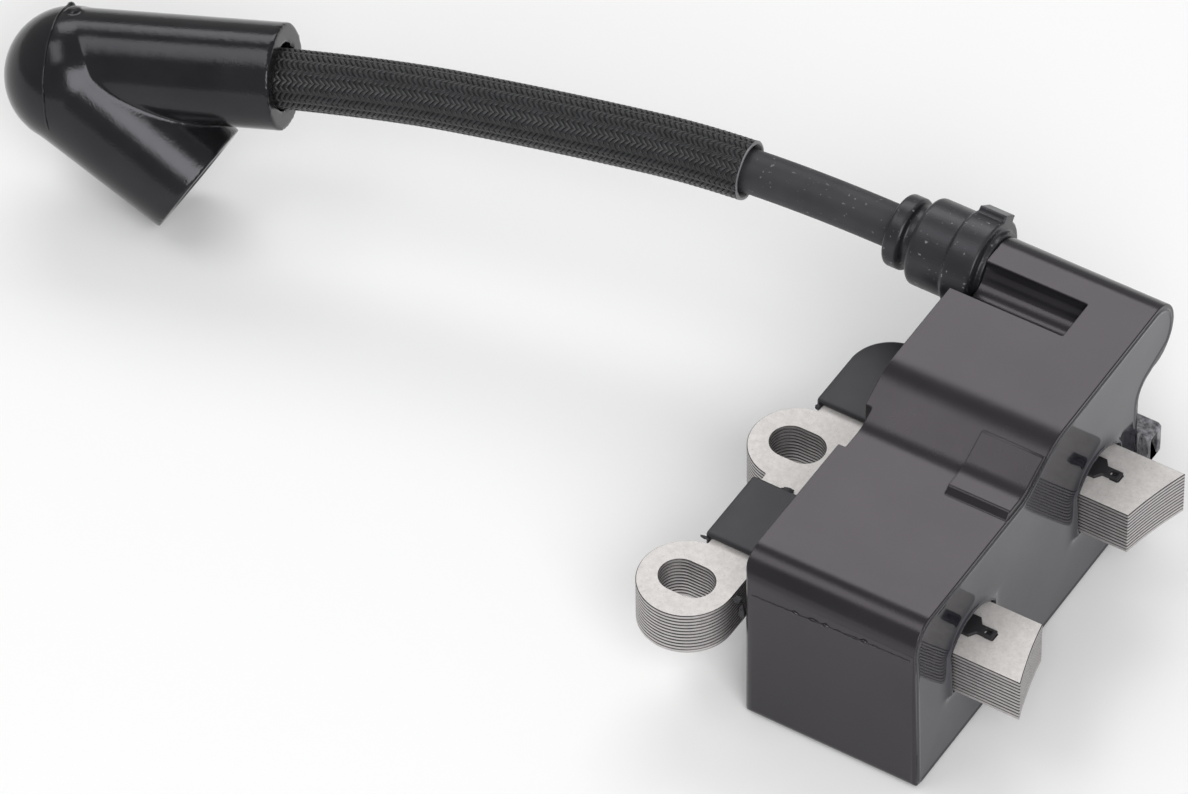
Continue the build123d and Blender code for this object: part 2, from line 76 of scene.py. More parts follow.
hinge = record["behaviour"]["joints"][0]
socket = next(mount for mount in record["mounts"] if mount["name"] == "plug_socket")
lead_tip = Vector(hinge["pos_m"])
arm_dir = Vector(hinge["axis"]).normalized()
plug_dir = Vector(socket["axis"]).normalized()


# ---------------------------------------------------------------- camera and light

CAMERA_PLACE = (0.3327, -0.5907, 0.7478)
CAMERA_AZIMUTH, CAMERA_ELEVATION, CAMERA_ROLL = 32.698, 46.496, -0.998
LENS_MM = 272.6
SENSOR_MM = 36.0
LIT_PLACE = (-0.05, 0.0, 0.01)
# name, place, width and height in metres, power in watts
SOFTBOXES = [
    ("light_back", (-0.60, 0.93, 1.16), (1.2, 0.62), 6.4),
    ("light_top", (-0.62, -0.40, 1.42), (1.0, 0.45), 3.5),
    ("light_front", (0.9, -1.0, 1.1), (1.1, 1.1), 19.0),
]
SURROUND_STRENGTH = 0.4
FLOOR_HALF = 6.0
FLOOR_GAP = 0.1 * MM
FLOOR_WHITE = (0.96, 0.96, 0.96, 1)
FLOOR_ROUGHNESS = 0.9


def aim(azimuth, elevation, roll):
    """A rotation that looks along an azimuth and down by an elevation, in degrees, with a small roll."""
    a, e, r = (math.radians(v) for v in (azimuth, elevation, roll))
    forward = Vector((-math.sin(a) * math.cos(e), math.cos(a) * math.cos(e), -math.sin(e)))
    right = Vector((math.cos(a), math.sin(a), 0))
    up = right.cross(forward)
    x_axis = math.cos(r) * right + math.sin(r) * up
    y_axis = math.cos(r) * up - math.sin(r) * right
    return Matrix((x_axis, y_axis, -forward)).transposed()


def camera():
    """A long lens, from the front right and well above."""
    data = bpy.data.cameras.new("camera")
    data.lens = LENS_MM
    data.sensor_width = SENSOR_MM
    data.clip_start = 0.05
    data.clip_end = 10
    eye = bpy.data.objects.new("camera", data)
    turn = aim(CAMERA_AZIMUTH, CAMERA_ELEVATION, CAMERA_ROLL)
    eye.matrix_world = Matrix.Translation(CAMERA_PLACE) @ turn.to_4x4()
    bpy.context.collection.objects.link(eye)
    bpy.context.scene.camera = eye


def softbox(name, place, size, power):
    """A rectangular soft light at a place, turned to the coil."""
    data = bpy.data.lights.new(name, "AREA")
    data.shape = "RECTANGLE"
    data.size, data.size_y = size
    data.energy = power
    light = bpy.data.objects.new(name, data)
    light.location = place
    light.rotation_euler = (Vector(LIT_PLACE) - Vector(place)).to_track_quat("-Z", "Y").to_euler()
    bpy.context.collection.objects.link(light)


def studio():
    """Large soft lights, an even pale surround and a white floor."""
    for name, place, size, power in SOFTBOXES:
        softbox(name, place, size, power)
    world = bpy.data.worlds.new("surround")
    bpy.context.scene.world = world
    world.use_nodes = True
    background = world.node_tree.nodes["Background"]
    background.inputs["Color"].default_value = (1, 1, 1, 1)
    background.inputs["Strength"].default_value = SURROUND_STRENGTH
    bpy.context.scene.view_settings.view_transform = "Standard"

    mesh = bpy.data.meshes.new("floor")
    corners = [(x * FLOOR_HALF, y * FLOOR_HALF, 0) for x, y in ((-1, -1), (1, -1), (1, 1), (-1, 1))]
    mesh.from_pydata(corners, [], [(0, 1, 2, 3)])
    floor = bpy.data.objects.new("floor", mesh)
    bpy.context.collection.objects.link(floor)
    floor.location.z = cad_low.z - FLOOR_GAP
    paint = bpy.data.materials.new("floor")
    paint.use_nodes = True
    shader = paint.node_tree.nodes["Principled BSDF"]
    shader.inputs["Base Color"].default_value = FLOOR_WHITE
    shader.inputs["Roughness"].default_value = FLOOR_ROUGHNESS
    mesh.materials.append(paint)


# ---------------------------------------------------------------- materials

BLACK = (0, 0, 0)
WHITE = (1, 1, 1)
COOL_SHINE = (0.94, 0.93, 1.0)
PLUM_SHINE = (1.0, 0.92, 1.0)


class Finish:
    """A procedural material: a base shader, with colour, roughness and bump worked out from noise."""

    # a mix node keeps its factor and its colours at these places among its sockets
    MIX_INPUTS = (0, 6, 7)
    MIX_OUTPUT = 2

    def __init__(self, name, roughness=0.5, metallic=0.0, coat=0.0, coat_roughness=0.1, specular=0.5,
                 sheen=0.0, shine=WHITE):
        self.material = bpy.data.materials.new(name)
        self.material.use_nodes = True
        self.tree = self.material.node_tree
        self.shader = self.tree.nodes["Principled BSDF"]
        for socket_name, value in (("Roughness", roughness), ("Metallic", metallic), ("Coat Weight", coat),
                                   ("Coat Roughness", coat_roughness), ("Specular IOR Level", specular),
                                   ("Sheen Weight", sheen)):
            self.shader.inputs[socket_name].default_value = value
        self.shader.inputs["Specular Tint"].default_value = (*shine, 1)
        coordinates = self.tree.nodes.new("ShaderNodeTexCoord").outputs
        self.place = coordinates["Object"]
        self.whole = coordinates["Generated"]
        self.facing = self.tree.nodes.new("ShaderNodeNewGeometry").outputs["True Normal"]
        self.height = None

    def feed(self, target, value):
        """Gives an input a value or a link."""
        if isinstance(value, bpy.types.NodeSocket):
            self.tree.links.new(value, target)
        else:
            target.default_value = value

    def node(self, kind, **inputs):
        """A new node, with its inputs given by name as values or links."""
        new = self.tree.nodes.new(kind)
        for key, value in inputs.items():
            self.feed(new.inputs[key], value)
        return new

    def stretched(self, scale):
        """The object's own coordinates, scaled apart along X, Y and Z."""
        mapping = self.node("ShaderNodeMapping", Vector=self.place, Scale=scale)
        return mapping.outputs["Vector"]

    def noise(self, scale, detail=4.0, roughness=0.55, place=None):
        """Cloudy noise, with scale in features per metre."""
        made = self.node("ShaderNodeTexNoise", Vector=place or self.place, Scale=scale, Detail=detail,
                         Roughness=roughness)
        return made.outputs["Fac"]

    def ramp(self, value, stops):
        """A colour ramp through (position, colour) stops."""
        made = self.node("ShaderNodeValToRGB", Fac=value)
        ends = made.color_ramp.elements
        while len(ends) < len(stops):
            ends.new(0.5)
        for end, (position, colour) in zip(ends, stops):
            end.position = position
            end.color = (*colour, 1)
        return made.outputs["Color"]

    def maths(self, operation, a, b=0.0):
        """One step of arithmetic."""
        made = self.tree.nodes.new("ShaderNodeMath")
        made.operation = operation
        self.feed(made.inputs[0], a)
        self.feed(made.inputs[1], b)
        return made.outputs[0]

    def mixed(self, factor, a, b):
        """Two colours mixed by a factor, the second given as (red, green, blue)."""
        made = self.tree.nodes.new("ShaderNodeMix")
        made.data_type = "RGBA"
        factor_in, first_in, second_in = (made.inputs[index] for index in self.MIX_INPUTS)
        self.feed(factor_in, factor)
        self.feed(first_in, a)
        self.feed(second_in, (*b, 1))
        return made.outputs[self.MIX_OUTPUT]

    def colour(self, value):
        """Links the base colour."""
        self.tree.links.new(value, self.shader.inputs["Base Color"])

    def roughness(self, value, low, high):
        """Roughness that wanders from low to high with a value."""
        made = self.node("ShaderNodeMapRange", Value=value)
        made.inputs["To Min"].default_value = low
        made.inputs["To Max"].default_value = high
        self.tree.links.new(made.outputs[0], self.shader.inputs["Roughness"])

    def bump(self, value, distance, strength=1.0):
        """Adds a layer of relief, with its depth in metres."""
        made = self.node("ShaderNodeBump", Height=value, Distance=distance, Strength=strength)
        if self.height is not None:
            self.tree.links.new(self.height, made.inputs["Normal"])
        self.height = made.outputs["Normal"]
        self.tree.links.new(self.height, self.shader.inputs["Normal"])


def moulded_plastic(name, dark, light, low, high, shine=COOL_SHINE):
    """Moulded black plastic: cloudy tone, uneven gloss and a fine spark-eroded grain."""
    made = Finish(name, shine=shine)
    cloud = made.noise(90, 5)
    made.colour(made.ramp(cloud, [(0.3, dark), (0.7, light)]))
    made.roughness(made.noise(140, 6), low, high)
    made.bump(made.noise(4500, 2), 0.000006)
    made.bump(made.noise(120, 1), 0.00005, 0.5)
    return made.material


def worn_plastic(name):
    """Black plastic with a torn, streaked surface that has turned grey."""
    made = Finish(name, shine=COOL_SHINE)
    streaks = made.noise(1400, 5, 0.7, place=made.stretched((1.0, 1.0, 0.35)))
    made.colour(made.ramp(streaks, [(0.38, (0.035, 0.035, 0.038)), (0.60, (0.30, 0.30, 0.32))]))
    made.roughness(streaks, 0.35, 0.6)
    made.bump(streaks, 0.00025)
    return made.material


def resin(name):
    """Cast black resin: very smooth, with a slow ripple left by curing."""
    made = Finish(name, coat=0.2, coat_roughness=0.04, specular=0.58, shine=COOL_SHINE)
    made.colour(made.ramp(made.noise(70, 3), [(0.3, (0.012, 0.012, 0.016)), (0.7, (0.020, 0.020, 0.026))]))
    made.roughness(made.noise(220, 5), 0.06, 0.13)
    made.bump(made.noise(160, 2), 0.00006, 0.6)
    return made.material


def silicon_steel(name):
    """Bare electrical steel: a pale mottled top with pits, and more metallic sheared sides darkened by painted
    shade, with a painted dark line of shade in the groove between one sheet and the next."""
    made = Finish(name)
    streaks = made.noise(1500, 3, place=made.stretched((0.25, 1.0, 1.0)))
    mottle = made.noise(1500, 6, 0.7)
    base = made.ramp(mottle, [(0.32, (0.57, 0.545, 0.53)), (0.66, (0.70, 0.672, 0.655))])
    pits = made.ramp(made.noise(5200, 2), [(0.64, BLACK), (0.72, WHITE)])
    base = made.mixed(made.maths("MULTIPLY", pits, 0.45), base, (0.23, 0.2, 0.18))
    # painted shade: a dark band at the top and bottom edge of each sheet's sides, where the groove between one
    # sheet and the next lies in shade
    share = made.node("ShaderNodeSeparateXYZ", Vector=made.whole).outputs["Z"]
    from_middle = made.maths("ABSOLUTE", made.maths("SUBTRACT", share, 0.5))
    line = made.ramp(from_middle, [(0.30, BLACK), (0.44, WHITE)])
    # the sides are sheared bare steel and more metallic than the top; their colour is also darkened towards
    # grey as painted shade
    upright = made.maths("ABSOLUTE", made.node("ShaderNodeSeparateXYZ", Vector=made.facing).outputs["Z"])
    side = made.ramp(upright, [(0.80, WHITE), (0.97, BLACK)])
    base = made.mixed(made.maths("MULTIPLY", side, 0.35), base, (0.40, 0.38, 0.40))
    made.feed(made.shader.inputs["Metallic"], made.maths("ADD", made.maths("MULTIPLY", side, 0.65), 0.25))
    # the colour takes the painted shade of the grooves, on the sides only
    made.colour(made.mixed(made.maths("MULTIPLY", line, side), base, (0.03, 0.028, 0.03)))
    made.roughness(streaks, 0.42, 0.56)
    made.bump(streaks, 0.00002, 0.7)
    made.bump(made.noise(3800, 3), 0.00002, 0.8)
    return made.material


def rubber(name, dark, light, low, high, specks=0.0, specular=0.5):
    """Moulded rubber: soft gloss, faint cloudiness and, where it lies open, pale dust specks."""
    made = Finish(name, specular=specular, shine=COOL_SHINE)
    base = made.ramp(made.noise(160, 4), [(0.3, dark), (0.7, light)])
    if specks > 0:
        dust = made.ramp(made.noise(2100, 1, 0.4), [(0.70, BLACK), (0.78, WHITE)])
        base = made.mixed(made.maths("MULTIPLY", dust, specks), base, (0.22, 0.22, 0.22))
    made.colour(base)
    made.roughness(made.noise(300, 6), low, high)
    made.bump(made.noise(4200, 2), 0.000014)
    made.bump(made.noise(420, 3), 0.00004, 0.5)
    return made.material


def yarn(name):
    """Black polyester yarn: a thread's own sheen, with fine filaments along it."""
    made = Finish(name, roughness=0.36, sheen=0.08, specular=0.45)
    made.colour(made.ramp(made.noise(900, 5), [(0.3, (0.004, 0.004, 0.005)), (0.75, (0.018, 0.018, 0.021))]))
    made.bump(made.noise(9000, 2), 0.00003)
    return made.material


def metal(name, dark, light, low, high):
    """Plain drawn or stamped metal with faint streaks and dull spots."""
    made = Finish(name, metallic=1.0)
    made.colour(made.ramp(made.noise(700, 5), [(0.3, dark), (0.7, light)]))
    made.roughness(made.noise(1600, 4), low, high)
    made.bump(made.noise(5000, 2), 0.00001)
    return made.material


MATERIALS = {
    "case_plastic": moulded_plastic("case_plastic", (0.010, 0.0095, 0.0110), (0.016, 0.0150, 0.0170),
                                    0.18, 0.27, shine=PLUM_SHINE),
    "cover_plastic": moulded_plastic("cover_plastic", (0.013, 0.013, 0.014), (0.024, 0.023, 0.025),
                                     0.38, 0.55),
    "potting": resin("potting"),
    "bobbin_plastic": moulded_plastic("bobbin_plastic", (0.02, 0.02, 0.02), (0.035, 0.035, 0.035), 0.4, 0.6),
    "copper": metal("copper", (0.5, 0.2, 0.08), (0.72, 0.33, 0.16), 0.25, 0.4),
    "board": moulded_plastic("board", (0.02, 0.09, 0.035), (0.03, 0.13, 0.05), 0.35, 0.5),
    "component": moulded_plastic("component", (0.012, 0.012, 0.013), (0.02, 0.02, 0.02), 0.25, 0.4),
    "contact_brass": metal("contact_brass", (0.55, 0.47, 0.3), (0.72, 0.66, 0.48), 0.22, 0.38),
    "lamination_steel": silicon_steel("lamination_steel"),
    "gland_rubber": rubber("gland_rubber", (0.012, 0.012, 0.014), (0.024, 0.024, 0.027), 0.26, 0.42,
                           specks=0.8),
    "lead_jacket": rubber("lead_jacket", (0.022, 0.022, 0.025), (0.034, 0.034, 0.037), 0.45, 0.62,
                          specks=0.55),
    "conductor": metal("conductor", (0.45, 0.2, 0.09), (0.7, 0.36, 0.2), 0.3, 0.5),
    "braid": yarn("braid"),
    "boot_rubber": rubber("boot_rubber", (0.006, 0.006, 0.007), (0.012, 0.012, 0.013), 0.11, 0.2,
                          specular=0.4),
    "spring_steel": metal("spring_steel", (0.45, 0.45, 0.46), (0.62, 0.62, 0.64), 0.2, 0.35),
}

# finishes of pieces that look different from the rest of their slot
WORN_PLASTIC = worn_plastic("worn_plastic")
MELTED_END = rubber("braid_melted_end", (0.10, 0.10, 0.11), (0.26, 0.25, 0.26), 0.25, 0.5)


# ---------------------------------------------------------------- mesh helpers

WELD = 0.002 * MM
FLAT_ANGLE = math.radians(0.5)
SHARP_ANGLE = math.radians(32)


def painted(mesh, material):
    """Gives a mesh one material in place of any it has."""
    mesh.materials.clear()
    mesh.materials.append(material)


def mesh_from(work, name):
    """The mesh that a bmesh holds; the bmesh is freed."""
    mesh = bpy.data.meshes.new(name)
    work.to_mesh(mesh)
    work.free()
    return mesh


def join_rings(work, a, b):
    """Quads from each side of one closed ring of vertices to the same side of the next."""
    for k in range(len(a)):
        j = (k + 1) % len(a)
        work.faces.new((a[k], a[j], b[j], b[k]))


def capped_run(work, rings):
    """A closed solid through a run of rings, with a face over each end."""
    for a, b in zip(rings, rings[1:]):
        join_rings(work, a, b)
    work.faces.new(rings[0][::-1])
    work.faces.new(rings[-1])


def place_in_scene(name, mesh, slot, body="module"):
    """Puts a mesh in the scene as a smooth-shaded piece with its material and body."""
    piece = bpy.data.objects.new(name, mesh)
    bpy.context.collection.objects.link(piece)
    painted(mesh, MATERIALS[slot])
    mesh.polygons.foreach_set("use_smooth", [True] * len(mesh.polygons))
    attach(piece, body)
    return piece


def baked(piece):
    """Replaces a piece's mesh by what its modifiers make of it."""
    graph = bpy.context.evaluated_depsgraph_get()
    mesh = bpy.data.meshes.new_from_object(piece.evaluated_get(graph))
    piece.modifiers.clear()
    piece.data = mesh
    return piece


def copied_mesh(node, name):
    """A clean copy of a CAD node's mesh: one vertex at each corner and no edges across flat faces."""
    mesh = frame["nodes"][node].data.copy()
    mesh.name = name
    work = bmesh.new()
    work.from_mesh(mesh)
    bmesh.ops.remove_doubles(work, verts=work.verts, dist=WELD)
    bmesh.ops.dissolve_limit(work, angle_limit=FLAT_ANGLE, verts=work.verts, edges=work.edges,
                             delimit={"NORMAL"})
    work.to_mesh(mesh)
    work.free()
    return mesh


def softened(node, slot, width, segments=2):
    """A copy of a CAD node with every sharp edge rounded by a small bevel."""
    piece = place_in_scene(node + "_shape", copied_mesh(node, node + "_shape"), slot)
    bevel = piece.modifiers.new("bevel", "BEVEL")
    bevel.width = width
    bevel.segments = segments
    bevel.limit_method = "ANGLE"
    bevel.angle_limit = SHARP_ANGLE
    bevel.harden_normals = True
    bevel.miter_outer = "MITER_ARC"
    bevel.use_clamp_overlap = False
    flat = piece.modifiers.new("flat", "WEIGHTED_NORMAL")
    flat.weight = 100
    baked(piece)
    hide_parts(node)
    return piece


def moulded(node, slot, voxel, rounds, body="module"):
    """A copy of a CAD node remade as one soft moulded skin, with every edge melted a little."""
    piece = place_in_scene(node + "_skin", frame["nodes"][node].data.copy(), slot, body)
    remesh = piece.modifiers.new("remesh", "REMESH")
    remesh.mode = "VOXEL"
    remesh.voxel_size = voxel
    remesh.use_smooth_shade = True
    smooth = piece.modifiers.new("smooth", "SMOOTH")
    smooth.factor = 0.5
    smooth.iterations = rounds
    baked(piece)
    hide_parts(node)
    return piece


def swept_frames(centres):
    """A point, a tangent and two steady cross directions at each point of a line."""
    frames = []
    side = Vector((0, 0, 1))
    for index, centre in enumerate(centres):
        ahead = centres[min(index + 1, len(centres) - 1)]
        behind = centres[max(index - 1, 0)]
        tangent = (ahead - behind).normalized()
        side = (side - tangent * side.dot(tangent)).normalized()
        frames.append((centre, tangent, side, tangent.cross(side)))
    return frames


def resampled(points, step):
    """Evenly spaced points along a polyline, about a step apart."""
    lengths = [0.0]
    for a, b in zip(points, points[1:]):
        lengths.append(lengths[-1] + (b - a).length)
    count = max(2, round(lengths[-1] / step))
    result = []
    segment = 0
    for n in range(count + 1):
        distance = lengths[-1] * n / count
        while segment < len(points) - 2 and lengths[segment + 1] < distance:
            segment += 1
        span = lengths[segment + 1] - lengths[segment]
        share = (distance - lengths[segment]) / span if span else 0
        result.append(points[segment].lerp(points[segment + 1], share))
    return result


# ---------------------------------------------------------------- lead

def polyline_length(points):
    """The length of a line through points."""
    return sum((b - a).length for a, b in zip(points, points[1:]))


def lead_curve(name, radius):
    """The lead's centre line as a smooth spline through its route, with a round section."""
    data = bpy.data.curves.new(name, "CURVE")
    data.dimensions = "3D"
    data.resolution_u = 24
    spline = data.splines.new("NURBS")
    spline.points.add(len(LEAD_ROUTE) - 1)
    for point, place in zip(spline.points, LEAD_ROUTE):
        point.co = (*place, 1)
    spline.order_u = 3
    spline.use_endpoint_u = True
    data.bevel_depth = radius
    data.bevel_resolution = 12
    data.use_fill_caps = True
    curve = bpy.data.objects.new(name, data)
    bpy.context.collection.objects.link(curve)
    return curve


def centre_line():
    """Points along the lead's smooth centre line."""
    curve = lead_curve("centre_line", 0)
    graph = bpy.context.evaluated_depsgraph_get()
    mesh = bpy.data.meshes.new_from_object(curve.evaluated_get(graph))
    points = [vertex.co.copy() for vertex in mesh.vertices]
    bpy.data.objects.remove(curve)
    return points


def lead():
    """The jacket of the free high-tension lead, which stands for its insulation and its hidden core."""
    jacket = lead_curve("lead_jacket", LEAD_R)
    jacket.data.materials.append(MATERIALS["lead_jacket"])
    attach(jacket, "module")
    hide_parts("lead_insulation", "lead_conductor")
    return jacket


# the boot: its lead arm from the elbow, the lead's end in it, and its dome beside the lead's axis
ARM_LENGTH = 26.2 * MM
LEAD_END = 5.5 * MM
DOME_R = 8.1 * MM
ARM_OFFSET = 1.82 * MM

# the sleeve: its ends along the lead, and the yarns of each of its two families
SLEEVE_START = 19.4 * MM
SLEEVE_IN_BOOT = 6.0 * MM
YARNS = 30
BRAID_R = 3.37 * MM
BRAID_PITCH = 20 * MM
WEAVE = 0.11 * MM
YARN_HALF = 0.27 * MM
YARN_THICK = 0.085 * MM
# a yarn's section, as shares of its half width and of its thickness
YARN_SECTION = ((-1, 0.0), (-0.5, 1.0), (0.5, 1.0), (1, 0.0))
RINGS_PER_CROSSING = 4

BACKING_IN_R, BACKING_OUT_R = 3.08 * MM, 3.24 * MM
CUT_END_IN_R, CUT_END_OUT_R = 3.2 * MM, 3.54 * MM
CUT_END_WAVE = 0.04 * MM
CUT_END_LOBES = 7
CUT_END_BEFORE, CUT_END_AFTER = 0.08 * MM, 0.1 * MM


def sleeve(points):
    """The braided sleeve: two families of flat yarns, two over and two under, a backing and a cut end."""
    line = resampled(points, 0.05 * MM)
    length = polyline_length(line)
    step = length / (len(line) - 1)
    frames = swept_frames(line)
    first = SLEEVE_START
    last = length - (ARM_LENGTH - LEAD_END) + SLEEVE_IN_BOOT
    helix_angle = math.atan(2 * math.pi * BRAID_R / BRAID_PITCH)
    half_angle = YARN_HALF / BRAID_R
    count = int((last - first) / (BRAID_PITCH / YARNS / RINGS_PER_CROSSING))
    work = bmesh.new()

    def ribbon(turn, start_angle, phase):
        """One flat yarn that winds round the lead, one way or the other."""
        rings = []
        for n in range(count + 1):
            distance = first + (last - first) * n / count
            angle = start_angle + turn * 2 * math.pi * (distance - first) / BRAID_PITCH
            crossing = (distance - first) / BRAID_PITCH * 2 * YARNS
            lift = WEAVE * math.sin(math.pi * (crossing / 2 + phase)) * turn
            section = []
            for across, rise in YARN_SECTION:
                along = -across * YARN_HALF * math.sin(helix_angle) * turn
                theta = angle + across * half_angle * math.cos(helix_angle)
                here = min(max(distance + along, first), last)
                centre, _, side, other = frames[min(int(here / step), len(frames) - 1)]
                out = math.cos(theta) * side + math.sin(theta) * other
                section.append(work.verts.new(centre + out * (BRAID_R + lift + rise * YARN_THICK)))
            rings.append(section)
        capped_run(work, rings)

    for n in range(YARNS):
        ribbon(1, 2 * math.pi * n / YARNS, n)
        ribbon(-1, 2 * math.pi * (n + 0.5) / YARNS, n)
    bmesh.ops.recalc_face_normals(work, faces=work.faces)
    yarns = place_in_scene("braided_sleeve_yarns", mesh_from(work, "braided_sleeve_yarns"), "braid")
    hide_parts("braided_sleeve")

    def backing_radii(theta):
        """The hidden lining, which closes the gaps between the yarns."""
        return BACKING_IN_R, BACKING_OUT_R

    def cut_end_radii(theta):
        """The melted ring at the cut end, a little uneven outside."""
        return CUT_END_IN_R, CUT_END_OUT_R - CUT_END_WAVE * math.sin(CUT_END_LOBES * theta)

    backing = tube("braided_sleeve_backing", frames, step, first, last, backing_radii, along=24)
    cut_end = tube("braided_sleeve_cut_end", frames, step, first - CUT_END_BEFORE, first + CUT_END_AFTER,
                   cut_end_radii, along=3)
    painted(cut_end.data, MELTED_END)
    return [yarns, backing, cut_end]


def tube(name, frames, step, first, last, radii, along, around=64):
    """A closed tube along the lead, in the braid's slot; radii gives both radii at an angle."""
    work = bmesh.new()
    inner, outer = [], []
    for n in range(along + 1):
        distance = first + (last - first) * n / along
        centre, _, side, other = frames[min(max(int(distance / step), 0), len(frames) - 1)]
        rings = ([], [])
        for k in range(around):
            theta = 2 * math.pi * k / around
            out = math.cos(theta) * side + math.sin(theta) * other
            for ring, radius in zip(rings, radii(theta)):
                ring.append(work.verts.new(centre + out * radius))
        inner.append(rings[0])
        outer.append(rings[1])
    for a, b in zip(outer, outer[1:]):
        join_rings(work, a, b)
    for a, b in zip(inner, inner[1:]):
        join_rings(work, b, a)
    join_rings(work, inner[0], outer[0])
    join_rings(work, outer[-1], inner[-1])
    bmesh.ops.recalc_face_normals(work, faces=work.faces)
    return place_in_scene(name, mesh_from(work, name), "braid")


# ---------------------------------------------------------------- potting surface

CASE_LOW, CASE_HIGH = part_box("case_shell")
RIM_LEAN = 0.75 * MM
RIM_HEIGHT = 29.5 * MM
DECK_Z = 24.9 * MM
RAMP_FOOT_Y = -1.8 * MM
RAMP_TOP_Y, RAMP_TOP_Z = 4.8 * MM, 28.3 * MM
WAIST_Y, WAIST_Z = 23.5 * MM, 19.4 * MM
REAR_FOOT_Y = 22.5 * MM
BASE_ROUND = 1.3 * MM
DECK_FRONT_ROUND = 3.6 * MM
RAMP_FOOT_ROUND = 5.0 * MM
RAMP_TOP_ROUND = 9.0 * MM
WAIST_ROUND = 2.6 * MM
TOWER = Vector(LEAD_ROUTE[0]).yz
TOWER_R = 4.16 * MM
TOWER_ARC_DEGREES = range(90, -53, -10)

LEG_HALF = 4.43 * MM
LEG_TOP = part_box("core_lamination_12")[1].z
LEG_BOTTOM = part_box("core_lamination_01")[0].z
LEG_YS = (-13.87 * MM, 13.87 * MM)

POTTING_STEP = 0.16 * MM
POTTING_INSET = 0.26 * MM
POTTING_PROUD = 0.05 * MM
POTTING_BACK = 4 * MM
TRIM_FROM_BACK, TRIM_PROUD = 0.5 * MM, 3 * MM
CREASE_DEPTH, CREASE_WIDTH = 0.25 * MM, 0.12 * MM
BEAD_HEIGHT, BEAD_PLACE, BEAD_WIDTH = 0.12 * MM, 0.42 * MM, 0.14 * MM
RIPPLE_DEPTH, RIPPLE_Y, RIPPLE_Z, RIPPLE_FADE = 0.04 * MM, 4.1 * MM, 3.3 * MM, 3 * MM
LIP_OUT, LIP_RISE, LIP_DROP = 0.5 * MM, 2.5 * MM, 0.3 * MM
LIP_HEIGHT, LIP_FADE = 0.55 * MM, 0.45 * MM
FUNNEL_DEPTH, FUNNEL_WIDTH, FUNNEL_BLEND = 0.5 * MM, 0.8 * MM, 1.5 * MM
GAP_OUT, GAP_RISE, GAP_DEPTH = 0.24 * MM, 1.5 * MM, 2.6 * MM
GAP_EDGE_OUT, GAP_EDGE_IN = -0.06 * MM, 0.26 * MM


def rounded_outline(corners, per_corner=7):
    """A closed outline through corners given as (y, z, radius), with an arc at each radius above zero."""
    outline = []
    count = len(corners)
    for index, (y, z, radius) in enumerate(corners):
        here = Vector((y, z))
        before = Vector(corners[index - 1][:2]) - here
        after = Vector(corners[(index + 1) % count][:2]) - here
        if radius == 0:
            outline.append(here)
            continue
        half = before.angle(after) / 2
        reach = radius / math.tan(half)
        start = here + before.normalized() * reach
        end = here + after.normalized() * reach
        inward = (before.normalized() + after.normalized()).normalized()
        middle = here + inward * (radius / math.sin(half))
        for step in range(per_corner + 1):
            chord = start.lerp(end, step / per_corner) - middle
            outline.append(middle + chord.normalized() * radius)
    return outline


def case_outline():
    """The side outline of the case, as (y, z): up the front, over the deck and the tower, and down the rear."""
    tower_arc = []
    for degrees in TOWER_ARC_DEGREES:
        angle = math.radians(degrees)
        tower_arc.append((TOWER.x + TOWER_R * math.cos(angle), TOWER.y + TOWER_R * math.sin(angle), 0))
    return rounded_outline([
        (CASE_LOW.y, CASE_LOW.z, BASE_ROUND),
        (CASE_LOW.y, DECK_Z, DECK_FRONT_ROUND),
        (RAMP_FOOT_Y, DECK_Z, RAMP_FOOT_ROUND),
        (RAMP_TOP_Y, RAMP_TOP_Z, RAMP_TOP_ROUND),
        *tower_arc,
        (WAIST_Y, WAIST_Z, WAIST_ROUND),
        (REAR_FOOT_Y, CASE_LOW.z, BASE_ROUND),
    ])


def moved_in(outline, distance):
    """An outline moved inwards by a small distance; it runs clockwise in (y, z)."""
    result = []
    count = len(outline)
    for index, here in enumerate(outline):
        along = (outline[(index + 1) % count] - outline[index - 1]).normalized()
        result.append(here + Vector((along.y, -along.x)) * distance)
    return result


def distances(places, outline):
    """The distance of each place to an outline, and whether it lies inside."""
    nearest = np.full(len(places), 1.0)
    inside = np.zeros(len(places), bool)
    for index, end in enumerate(outline):
        a = np.array(outline[index - 1])
        b = np.array(end)
        run = b - a
        share = np.clip(((places - a) @ run) / max(run @ run, 1e-18), 0, 1)
        gap = places - (a + share[:, None] * run)
        nearest = np.minimum(nearest, np.hypot(gap[:, 0], gap[:, 1]))
        crosses = (a[1] > places[:, 1]) != (b[1] > places[:, 1])
        height = run[1] if abs(run[1]) > 1e-15 else 1e-15
        inside ^= crosses & (places[:, 0] < a[0] + (places[:, 1] - a[1]) / height * run[0])
    return nearest, inside


def collar_outline(leg_y, half, rise, foot, arch_steps=16):
    """Straight sides beside a leg and a low arch over it, as (y, z)."""
    outline = [Vector((leg_y - half, foot))]
    radius = (half * half + rise * rise) / (2 * rise)
    middle = Vector((leg_y, LEG_TOP + rise - radius))
    spread = math.asin(min(1.0, half / radius))
    for step in range(arch_steps + 1):
        angle = -spread + 2 * spread * step / arch_steps
        outline.append(middle + Vector((math.sin(angle), math.cos(angle))) * radius)
    outline.append(Vector((leg_y + half, foot)))
    return outline


def smooth_step(value, low, high):
    """A soft step from 0 to 1 between two values."""
    t = np.clip((value - low) / (high - low), 0, 1)
    return t * t * (3 - 2 * t)


